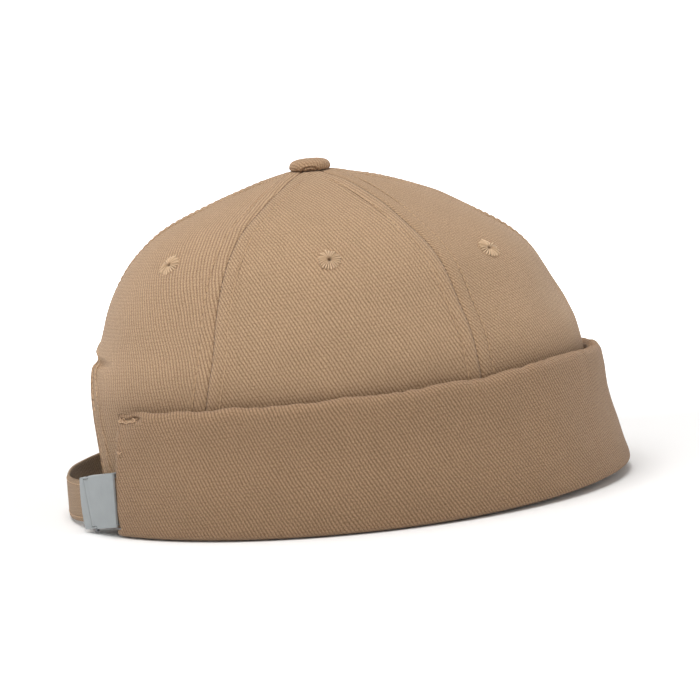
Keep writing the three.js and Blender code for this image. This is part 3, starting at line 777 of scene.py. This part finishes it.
for radius, lift, run in zip(radii, lifts, drape):
    from_near = (turns + math.pi / 2 + math.pi) % (2 * math.pi) - math.pi
    oval = np.sqrt((from_near * button_radius / crease_width) ** 2 + (lift / crease_height) ** 2)
    creased = (1 - smooth(oval, 0.95, 1.3)) * smooth(run, 4, 6.5)
    crease = crease_depth * np.cos(2 * math.pi * oval * 2.1) * creased
    gather = gather_depth * np.sin(turns * 17) * smooth(run, 8.5, 10.5)
    reach = np.maximum(radius + (crease + gather) * (radius > 1), 0.001)
    x = crown_axis + button_shift + reach * np.cos(turns)
    height = np.full(around, crown_height - button_sink + lift)
    corners.append(np.stack([x, reach * np.sin(turns), height], axis=-1))
    layer.append(np.stack([run * np.cos(turns), run * np.sin(turns)], axis=-1))
faces = tube_faces(len(radii), around)
button_twill = twill_finish("tan button twill", srgb(190, 158, 125), srgb(140, 108, 80))
layers = {"cloth": np.concatenate(layer)}
button = make_piece("cloth_button", np.concatenate(corners), faces, button_twill, layers)
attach(button, "cap")
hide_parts("button_cover")

# The cuff
# The lower part of the cap, padded and turned up all round. It stands off the crown at its rolled
# rim and at its foot, and its two ends are tacked to the crown beside the back opening.
cuff_height_front = 49.2
cuff_height_back = 45.3
cuff_rise_power = 0.6
cuff_flare = 0.3
cuff_front_flare = 1.4
cuff_wall = 2.8
cuff_rim_wall = 5.2
cuff_pocket = 2.8
cuff_foot = 2.5
cuff_end = 140.0
cuff_end_reach = 0.65
cuff_stations = 430
cuff_sides = 190
cuff_front_lift = 2.6
end_round = 2.4
rim_stand = cuff_pocket + cuff_wall + (cuff_rim_wall - cuff_wall) * 0.45

# Soft waves of the rim: angle, spread in degrees, lift as a share of the rim's wall
cuff_waves = [
    (-75, 35, 0.13),
    (-46, 3, -0.06),
    (-34, 18, 0.38),
    (2, 13, -0.12),
    (18, 10, -0.12),
    (60, 10, 0.16),
    (105, 9, -0.14),
]


def beside_crown(angle, height, distance):
    """Points at a height and a level distance out from the crown's outer face"""
    level = level_at(height)
    round_way = crown_ways(angle, level)[0]
    flat = np.zeros_like(round_way[..., 0])
    out = unit(np.stack([round_way[..., 1], -round_way[..., 0], flat], axis=-1))
    return crown_point(angle, level) + out * np.asarray(distance)[..., None]


def cuff_top(angle):
    end = math.cos(math.radians(cuff_end))
    ahead = np.maximum(0, np.cos(np.radians(angle)) - end) / (1 - end)
    waves = [share * bell(angle, middle, spread) for middle, spread, share in cuff_waves]
    lift = cuff_rim_wall * sum(waves)
    return cuff_height_back + (cuff_height_front - cuff_height_back) * ahead ** cuff_rise_power + lift


def cuff_outline(angle):
    """Distance out and height of the cuff's section, from inside its foot round its rim and back"""
    top = float(cuff_top(angle))
    flare = cuff_flare + cuff_front_flare * max(0, math.cos(math.radians(angle))) ** 2
    outside = cuff_pocket + cuff_wall
    rim_out = rim_stand
    rim_in = rim_out - cuff_rim_wall
    bottom_round = cuff_wall * 0.9
    return np.array([
        [-cloth_wall, cuff_foot * 0.35],
        [-cloth_wall * 0.5, 0],
        [(outside - bottom_round) * 0.5, 0],
        [outside - bottom_round, 0],
        [outside - bottom_round * 0.22, bottom_round * 0.3],
        [outside + flare, bottom_round],
        [outside + flare * 0.9, top * 0.22],
        [outside + flare * 0.75, top * 0.45],
        [outside + 0.35 + flare * 0.35, top * 0.65],
        [rim_out, top * 0.84],
        [rim_out - 0.1, top - cuff_rim_wall * 0.5],
        [rim_in + cuff_rim_wall * 0.8, top - cuff_rim_wall * 0.13],
        [rim_in + cuff_rim_wall * 0.5, top],
        [rim_in + cuff_rim_wall * 0.2, top - cuff_rim_wall * 0.14],
        [rim_in, top - cuff_rim_wall * 0.5],
        [rim_in + 0.3, top * 0.84],
        [cuff_pocket, top * 0.55],
        [cuff_pocket, cuff_foot + 3],
        [cuff_pocket - 0.5, cuff_foot],
        [-cloth_wall, cuff_foot],
    ])


def rounded(outline, count):
    """A closed curve through an outline's corners, at even steps of its length"""
    before, after, beyond = (np.roll(outline, -step, axis=0) for step in (-1, 1, 2))
    shares = np.linspace(0, 1, 12, endpoint=False)[:, None, None]
    slope = (after - before) * shares
    bend = (2 * before - 5 * outline + 4 * after - beyond) * shares ** 2
    twist = (3 * outline - before - 3 * after + beyond) * shares ** 3
    curve = (0.5 * (2 * outline + slope + bend + twist)).transpose(1, 0, 2).reshape(-1, 2)
    curve = np.concatenate([curve, curve[:1]])
    length = run_length(curve)
    stops = np.linspace(0, length[-1], count, endpoint=False)
    return at_stops(stops, length, curve), stops


def tack_wander(from_end):
    """How far a bar tack strays up and down from its line"""
    return 0.3 * np.sin(from_end * 0.75 + 0.6) + 0.12 * np.sin(from_end * 2.3)


# Bar tacks: how far below the rim, how long, and how deep they pull the cuff in
tack_drop = 2.4
tack_length = 12.2
tack_pull = 1.9
tack_draw = 1.1
corner_fold = 0.55
belt_height = 22.0

stations = np.linspace(-cuff_end - cuff_end_reach, cuff_end + cuff_end_reach, cuff_stations)
belt_heights = np.full(cuff_stations, belt_height)
belt_stand = np.full(cuff_stations, cuff_pocket + cuff_wall)
belt = run_length(beside_crown(stations, belt_heights, belt_stand))
rings, layer = [], []
for angle, run in zip(stations, belt):
    outline, stops = rounded(cuff_outline(angle), cuff_sides)
    top = float(cuff_top(angle))
    from_end = min(run, belt[-1] - run)
    distance, height = outline[:, 0], outline[:, 1]
    middle = (cuff_pocket + cuff_wall / 2 + 0.6) * smooth(height, 2, 6)
    tuck = math.sqrt(max(0.0, 1 - max(0, 1 - from_end / end_round) ** 2)) * 0.75 + 0.25
    distance = np.where(height > cuff_foot + 0.4, middle + (distance - middle) * tuck, distance)
    height = np.where(height > top * 0.5, height - (1 - tuck) * 0.8, height)
    on_tack = smooth(from_end, 0.4, 1.6) * (1 - smooth(from_end, tack_length - 1.5, tack_length + 1.5))
    outer_side = distance > middle
    slit = top - tack_drop + tack_wander(from_end)
    pull = tack_pull * on_tack * bell(height, slit, 0.7) * outer_side
    drawn = tack_draw * (1 - smooth(from_end, 3, 16)) * bell(height, slit, 9) * outer_side
    fold_height = top - tack_drop - (3.6 - from_end) * 1.75
    at_corner = 1 - smooth(from_end, 2.8, 4.4)
    fold = corner_fold * bell(height, fold_height, 1.0) * at_corner * outer_side
    distance = distance - pull - drawn - fold
    ahead = max(0.0, math.cos(math.radians(angle))) ** 2.5
    height = np.maximum(height, 0) + cuff_front_lift * ahead * (1 - smooth(height, 0, 16))
    rings.append(beside_crown(np.full(cuff_sides, angle), height, distance))
    layer.append(np.stack([np.full(cuff_sides, run), stops], axis=-1))
rings = np.array(rings)
level_out = [beside_crown(angle, 20.0, 1.0) - beside_crown(angle, 20.0, 0.0) for angle in stations]
level_out = unit(np.array(level_out))
swell = soft_unevenness(rings, 0.85, 0.3) * smooth(rings[..., 2], 1.5, 9)
around_share = np.arange(cuff_sides) / cuff_sides
is_outer = smooth(around_share, 0.08, 0.17) * (1 - smooth(around_share, 0.53, 0.64))
rings = rings + level_out[:, None, :] * (swell * is_outer)[..., None]
slow_lip = [0.7 * noise.noise(Vector((run * 0.09, 7.7, 0))) for run in belt]
quick_lip = [0.5 * noise.noise(Vector((run * 0.31, 1.3, 0))) for run in belt]
lips = np.array(slow_lip) + np.array(quick_lip)
rim_share = smooth(rings[..., 2], 36, 44)
rings[..., 2] += lips[:, None] * rim_share
# Painted shade: the cuff is the same twill as the crown, its colours made darker for the shade it
# stands in
cuff_light = srgb(181, 149, 117)
cuff_dark = srgb(106, 79, 55)
# Painted shade at the cuff's foot: 0.84 at the floor, fading out by 20 mm
cuff_painted_shade = (0.0, 20.0, 0.84)
cuff_twill = twill_finish("tan cuff twill", cuff_light, cuff_dark, painted_foot_shade=cuff_painted_shade)
faces = tube_faces(cuff_stations, cuff_sides)
cuff = make_piece("turned_up_cuff", rings, faces, cuff_twill, {"cloth": np.array(layer)})
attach(cuff, "cap")
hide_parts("cuff")

# The bar tacks' thread lies in the pulled-in cloth at both ends of the cuff, with a loose end below.
# Each strand has its height off the tack's line, how far out it lies, and how fast it wanders.
tack_strands = [(-0.7, 1.5, 1.9), (-0.35, 1.2, 3.7), (0.1, 0.6, 2.3)]
tack_steps = 60
loose_steps = 30
loose_start = 2.6
loose_reach = 2.2
loose_drop = 13.5


def angle_from_end(run, side):
    """The crown's angle at a distance along the cuff from one of its ends"""
    return np.interp(run if side == 0 else belt[-1] - run, belt, stations)


def ways_out(angles, heights):
    """Level directions out of the cuff's face"""
    inner = beside_crown(angles, heights, np.zeros(len(angles)))
    return unit(beside_crown(angles, heights, np.full(len(angles), 9.0)) - inner)


tack_rows = []
for side in (0, 1):
    runs = np.linspace(0.9, tack_length - 0.6, tack_steps)
    angles = angle_from_end(runs, side)
    heights = cuff_top(angles) - tack_drop + tack_wander(runs)
    seat = rim_stand - tack_pull - tack_draw * (1 - smooth(runs, 3, 16)) + 0.3
    outs = ways_out(angles, heights)
    for offset, stand, sway in tack_strands:
        wave = 0.34 * np.sin(runs * sway + offset * 9)
        tack_rows.append((beside_crown(angles, heights + offset + wave, seat + stand), outs))
    loose = np.linspace(0, 1, loose_steps)
    angles = angle_from_end(loose_start + loose * loose_reach, side)
    heights = cuff_top(angles) - loose_drop - 1.6 * np.sin(loose * 2.6) + loose * 1.2
    stands = np.full(loose_steps, rim_stand - 0.1)
    tack_rows.append((beside_crown(angles, heights, stands), ways_out(angles, heights)))
tack_thread = thread_finish("tan tack thread", srgb(204, 170, 135), srgb(134, 102, 76))
sew("cuff_bar_tacks", tack_rows, tack_thread, radius=0.26, pitch=1.3, fill=1.1)

# The facing
# A bias strip of the same twill, sewn over the raw edge of the back opening and turned inside.
facing_reach = 6.0
facing_sides = 30
facing_outline = np.array([
    [facing_reach, -1.8],
    [2.5, -1.75],
    [-0.1, -1.7],
    [-0.22, -1.2],
    [-0.24, -0.4],
    [-0.3, 0.12],
    [-0.65, 0.14],
    [-0.98, -0.2],
    [-1.1, -0.8],
    [-1.1, -1.8],
    [-0.75, -2.35],
    [0.0, -2.6],
    [2.5, -2.6],
    [facing_reach, -2.55],
])
corner_angle = float(arch_angles[0])
bottom_angles = np.linspace(cuff_end + 0.5, corner_angle, 12)[:-1]
half_angles = np.concatenate([bottom_angles, arch_angles])
half_heights = np.concatenate([np.full(len(bottom_angles), lower_edge), arch_heights])
path_angles = np.concatenate([half_angles, 360 - half_angles[-2::-1]])
path_heights = np.concatenate([half_heights, half_heights[-2::-1]])
path_levels = level_at(path_heights)
points = crown_point(path_angles, path_levels)
keep = np.concatenate([[True], np.linalg.norm(np.diff(points, axis=0), axis=1) > 0.12])
points, path_angles, path_levels = points[keep], path_angles[keep], path_levels[keep]
outs = crown_ways(path_angles, path_levels)[2]
along = unit(np.gradient(points, axis=0))
for _ in range(3):
    along[1:-1] = unit(along[:-2] + 2 * along[1:-1] + along[2:])
into = unit(np.cross(outs, along))
points = points - outs * back_pull(path_angles, points[:, 2])[:, None]
facing_curve, facing_stops = rounded(facing_outline, facing_sides)
inward = into[:, None, :] * facing_curve[None, :, :1]
outward = outs[:, None, :] * facing_curve[None, :, 1:]
rings = points[:, None, :] + inward + outward
length = run_length(points)
layer = np.stack(np.broadcast_arrays(length[:, None], facing_stops[None, :]), axis=-1)
facing_light = srgb(188, 155, 122)
facing_dark = srgb(128, 98, 72)
facing_twill = twill_finish("tan facing twill", facing_light, facing_dark, lean=math.radians(20))
faces = tube_faces(len(points), facing_sides)
facing = make_piece("back_opening_facing", rings, faces, facing_twill, {"cloth": layer})
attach(facing, "cap")
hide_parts("opening_facing")

# The strap
# A folded and topstitched band of twill that comes out from behind the cuff's two ends. It bows
# out and sags a little across the opening, and its two parts meet under the buckle.
strap_width = 15.8
strap_wall = 1.4
strap_seat = 0.9
strap_buckle_stand = 2.2
strap_apex_stand = 2.9
strap_apex_height = 8.5
strap_end_right = (14.2, 2)
strap_end_left = (11.1, 4)
strap_tuck = 131.0
buckle_angle = 147.0
strap_meet = buckle_angle - 2.5
strap_split = 0.12
strap_edge = 1.6


def strap_path(angle):
    """Height of the strap's middle and how far its inner face stands off the crown's line"""
    turn = np.where(angle > 180, angle - 360, angle)
    share = (180 - np.abs(turn)) / (180 - cuff_end)
    end_height = np.where(turn < 0, strap_end_right[0], strap_end_left[0])
    sag = np.where(turn < 0, strap_end_right[1], strap_end_left[1])
    height = strap_apex_height + (end_height - strap_apex_height) * np.minimum(1, share) ** sag
    out_of_pocket = smooth(np.abs(turn) - cuff_end + 0.2, 0, 1.6)
    stand = strap_seat + (strap_buckle_stand - strap_seat) * out_of_pocket
    to_apex = smooth(1 - share * 1.25, 0, 1)
    return turn, height, stand + (strap_apex_stand - stand) * to_apex


def strap_outline():
    """The strap's section, from its outer face round its lower edge and back over its upper one"""
    half = strap_width / 2
    front = []
    for up in np.linspace(half - 0.2, -half + 0.2, 40):
        from_edge = half - abs(up)
        groove = -0.2 * bell(from_edge, strap_edge, 0.4) - 0.3 * bell(from_edge, 0, 0.5)
        front.append([strap_wall + 0.12 * smooth(from_edge, 0, 3) + groove, up])
    back = []
    for up in np.linspace(-half + 0.2, half - 0.2, 24):
        back.append([0.25 * bell(half - abs(up), 0, 0.5), up])
    near, middle, far = strap_wall * 0.25, strap_wall * 0.5, strap_wall * 0.75
    bottom = [[far, -half + 0.02], [middle, -half], [near, -half + 0.02]]
    top = [[near, half - 0.02], [middle, half], [far, half - 0.02]]
    return np.array(front + bottom + back + top)


def strap_mesh(first, last, step):
    angles = np.linspace(first, last, int(abs(last - first) / step) + 2)
    turn, middle, stand = strap_path(angles)
    outline = strap_outline()
    run = run_length(beside_crown(turn, middle, stand))
    heights = middle[:, None] + outline[None, :, 1]
    wave = np.array([0.22 * noise.noise(Vector((r * 0.09, 4.4, 0))) for r in run])
    distances = stand[:, None] + outline[None, :, 0] + wave[:, None]
    rings = beside_crown(np.broadcast_to(turn[:, None], heights.shape), heights, distances)
    layer = np.stack(np.broadcast_arrays(run[:, None], -run_length(outline)[None, :]), axis=-1)
    return rings, tube_faces(len(angles), len(outline)), {"cloth": layer}


strap_light = srgb(178, 150, 119)
strap_dark = srgb(112, 86, 62)
strap_twill = twill_finish("tan strap twill", strap_light, strap_dark, contrast=0.85)
strap_parts = {
    "strap_long": (strap_tuck, 360 - strap_meet - strap_split, "strap_band_long"),
    "strap_short": (360 - strap_meet + strap_split, 360 - strap_tuck, "strap_band_short"),
}
for node, (first, last, name) in strap_parts.items():
    rings, faces, layers = strap_mesh(first, last, 0.45)
    band = make_piece(name, rings, faces, strap_twill, layers)
    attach(band, "cap")
    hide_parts(node)

# Its topstitching is pressed into the cloth where the buckle's plate covers it
buckle_cover = (-154.5, -139.0)
covered_press = 0.24
cover_start, cover_end = buckle_cover
strap_rows = []
for up in (strap_width / 2 - strap_edge, -strap_width / 2 + strap_edge):
    angles = np.linspace(strap_tuck + 1, 360 - strap_tuck - 1, 260)
    turn, middle, stand = strap_path(angles)
    covered = smooth(turn, cover_start - 1, cover_start) * (1 - smooth(turn, cover_end, cover_end + 1))
    points = beside_crown(turn, middle + up, stand + strap_wall - 0.02 - covered_press * covered)
    outs = unit(points - beside_crown(turn, middle + up, stand))
    strap_rows.append((points, outs))
sew("strap_topstitching", strap_rows, tan_thread, radius=0.17, pitch=2.3)

# The flip buckle
# Pressed steel sheet, painted a matt blue grey: a frame under and over the strap, and a lever that
# swings on a plain steel pin. The sheet's edges are slightly rounded by the press.
press_round = 0.09
pin_round = 0.15


def paint_finish(name, light, dark):
    material, shader, start = start_finish(name, {"Metallic": 0.15, "Specular IOR Level": 0.45})
    place = start.node("ShaderNodeTexCoord", {}, {}, out="Object")
    cloud = place.mottle(180.0, 4.0)
    pores = place.mottle(2600.0, 2.0)
    feed(shader, "Base Color", ((cloud - 0.3) * 1.6).held().tint(dark, light))
    feed(shader, "Roughness", cloud * 0.2 + 0.4)
    feed(shader, "Normal", pores.bump(0.25, 0.00004))
    return material


def steel_finish(name, light, dark):
    material, shader, start = start_finish(name, {"Metallic": 1.0})
    place = start.node("ShaderNodeTexCoord", {}, {}, out="Object")
    drawn = place.mottle(900.0, 3.0)
    feed(shader, "Base Color", drawn.tint(dark, light))
    feed(shader, "Roughness", drawn * 0.3 + 0.3)
    return material


buckle_paint = paint_finish("blue grey buckle paint", srgb(163, 168, 170), srgb(150, 155, 157))
pin_steel = steel_finish("buckle pin steel", srgb(120, 122, 125), srgb(84, 86, 90))


# The lever's tail swings close past the nose strip, so that the two look like one plate when shut
hinge = frame["joints"][0]
pin_place = Vector(hinge["pos_m"])
pin_way = Vector(hinge["axis"]).normalized()
plate_faces = frame["nodes"]["buckle_lever"].data.polygons
plate_out = max(plate_faces, key=lambda face: face.area).normal.copy()
if plate_out.dot(Vector((pin_place.x, pin_place.y, 0))) < 0:
    plate_out = -plate_out

# Distances in mm from the pin: which corners belong to the strip and the tail, and where they go
strip_reach = (1.52, 2.1)
tail_chamfer = (0.9, 1.0)
chamfer_low = 1.2
tail_end = 1.2
tail_swing = 1.81
plate_swing = 1.36
strip_half = 9.2


def close_slot(work):
    """Brings the nose strip's edge and the lever's tail as near each other as the swing allows"""
    to_nose = pin_way.cross(plate_out)
    for corner in work.verts:
        arm = (corner.co - pin_place) / mm
        ahead, out, sideways = arm.dot(to_nose), arm.dot(plate_out), arm.dot(pin_way)
        if out < 0 or abs(sideways) > strip_half:
            continue
        on_strip = ahead > strip_reach[0] and math.hypot(ahead, out) < strip_reach[1]
        on_tail = tail_chamfer[0] < ahead < tail_chamfer[1] and out > chamfer_low
        if on_strip:
            strip_edge = max(math.sqrt(tail_swing ** 2 - out ** 2), plate_swing)
            corner.co += to_nose * (strip_edge - ahead) * mm
        elif on_tail:
            corner.co += to_nose * (tail_end - ahead) * mm


def pressed_copy(node, name, material, body, width, reshape=None):
    """A metal piece of the same form as its solid, with its edges rounded"""
    work = bmesh.new()
    work.from_mesh(frame["nodes"][node].data)
    bmesh.ops.remove_doubles(work, verts=work.verts, dist=1e-6)
    bmesh.ops.dissolve_limit(work, angle_limit=math.radians(1.5), verts=work.verts, edges=work.edges)
    if reshape:
        reshape(work)
    shared = [edge for edge in work.edges if len(edge.link_faces) == 2]
    sharp = [edge for edge in shared if edge.calc_face_angle(0) > math.radians(35)]
    bmesh.ops.bevel(
        work, geom=sharp, offset=width * mm, offset_type="OFFSET", segments=2, profile=0.5,
        affect="EDGES", clamp_overlap=True)
    bmesh.ops.triangulate(work, faces=[face for face in work.faces if len(face.verts) > 4])
    mesh = bpy.data.meshes.new(name)
    work.to_mesh(mesh)
    work.free()
    mesh.materials.append(material)
    mesh.polygons.foreach_set("use_smooth", [True] * len(mesh.polygons))
    mesh.set_sharp_from_angle(angle=math.radians(32))
    piece = bpy.data.objects.new(name, mesh)
    bpy.context.scene.collection.objects.link(piece)
    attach(piece, body)
    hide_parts(node)


pressed_copy(
    "buckle_frame", "flip_buckle_frame", buckle_paint, "cap", press_round,
    reshape=close_slot)
pressed_copy(
    "buckle_lever", "flip_buckle_lever", buckle_paint, "buckle_lever", press_round,
    reshape=close_slot)
pressed_copy("buckle_pin", "flip_buckle_pin", pin_steel, "cap", pin_round)

# The button's post
# A plain steel pin and washer inside the top of the crown. It keeps its solid's form.
post = frame["nodes"]["button_post"]
post.data.materials.clear()
post.data.materials.append(steel_finish("button post steel", srgb(150, 150, 150), srgb(110, 110, 112)))

# The studio
# A pale floor that rises to a low rim all round, lit from within behind the cap, under large soft
# lights.
floor_flat = 2.3
floor_rim = 0.45
floor_rim_height = 0.9
floor_drop = 0.0002
glow_start = 0.1
glow_full = 0.45


def floor_finish():
    material, shader, start = start_finish(
        "pale floor", {"Roughness": 1.0, "Specular IOR Level": 0.0, "Emission Strength": 1.0})
    place = start.node("ShaderNodeTexCoord", {}, {}, out="Object")
    behind = place.parts(1)[0]
    share = ((behind - glow_start) / (glow_full - glow_start)).held()
    cloud = place.mottle(3.0, 2.0)
    feed(shader, "Base Color", cloud.tint((0.9, 0.9, 0.9, 1), (0.92, 0.92, 0.92, 1)))
    feed(shader, "Emission Color", share.tint((0.0, 0.0, 0.0, 1), (0.9, 0.9, 0.9, 1)))
    return material


profile = [(0.001, 0.0), (0.4, 0.0), (1.0, 0.0), (1.6, 0.0), (floor_flat, 0.0)]
for turn in np.radians(np.linspace(6, 90, 15)):
    profile.append((floor_flat + floor_rim * math.sin(turn), floor_rim * (1 - math.cos(turn))))
profile.append((floor_flat + floor_rim, floor_rim_height))
around = 96
corners = []
for reach, height in profile:
    for turn in whole_turn(around):
        corners.append([reach * math.cos(turn), reach * math.sin(turn), height - floor_drop])
faces = tube_faces(len(profile), around)[:-1]
floor = make_piece("studio_floor", np.array(corners) / mm, faces, floor_finish(), {})


def softbox(name, place, aim, width, power, color):
    lamp = bpy.data.lights.new(name, "AREA")
    lamp.shape = "SQUARE"
    lamp.size = width
    lamp.energy = power
    lamp.color = color
    box = bpy.data.objects.new(name, lamp)
    box.location = place
    box.rotation_euler = (Vector(aim) - Vector(place)).to_track_quat("-Z", "Y").to_euler()
    bpy.context.scene.collection.objects.link(box)


softbox("softbox_over", (-0.25, -0.35, 1.9), (0, 0, 0), 1.5, 34.5, (1.0, 0.99, 0.98))
softbox("softbox_left", (-1.1, -1.3, 1.3), (0, 0, 0.06), 1.0, 5.3, (1.0, 0.99, 0.97))
softbox("softbox_right", (1.4, -0.9, 1.0), (0.05, 0, 0.05), 0.9, 4, (1.0, 0.99, 0.97))
world = bpy.data.worlds.new("pale surround")
world.use_nodes = True
world.node_tree.nodes["Background"].inputs["Color"].default_value = (1.0, 1.0, 1.0, 1.0)
world.node_tree.nodes["Background"].inputs["Strength"].default_value = 0.23
bpy.context.scene.world = world
bpy.context.scene.view_settings.view_transform = "Standard"

# The camera
# About a metre away on the wearer's right, a little above the cap, rolled as the photograph is.
frame_pixels = 700
camera_distance = 1000.0
camera_rise = math.radians(8.0)
camera_roll = math.radians(5.0)
pixels_per_mm = 2.612
aim_ahead = -2.4
aim_height = 66.0
aim_pixel = (318.2, 321.0)

level_right = Vector((1, 0, 0))
level_up = Vector((0, math.sin(camera_rise), math.cos(camera_rise)))
backward = Vector((0, -math.cos(camera_rise), math.sin(camera_rise)))
right = level_right * math.cos(camera_roll) - level_up * math.sin(camera_roll)
up = level_right * math.sin(camera_roll) + level_up * math.cos(camera_roll)
aim = Vector((crown_axis + aim_ahead, 0, aim_height))
off_right = (aim_pixel[0] - frame_pixels / 2) / pixels_per_mm
off_up = (frame_pixels / 2 - aim_pixel[1]) / pixels_per_mm
eye = aim + backward * camera_distance - right * off_right - up * off_up
lens = bpy.data.cameras.new("camera")
lens.sensor_width = 36.0
lens.lens = lens.sensor_width * pixels_per_mm * camera_distance / frame_pixels
lens.clip_start = 0.05
camera = bpy.data.objects.new("camera", lens)
camera.matrix_world = Matrix((
    (right.x, up.x, backward.x, eye.x * mm),
    (right.y, up.y, backward.y, eye.y * mm),
    (right.z, up.z, backward.z, eye.z * mm),
    (0, 0, 0, 1),
))
bpy.context.scene.collection.objects.link(camera)
bpy.context.scene.camera = camera

bpy.context.view_layer.update()
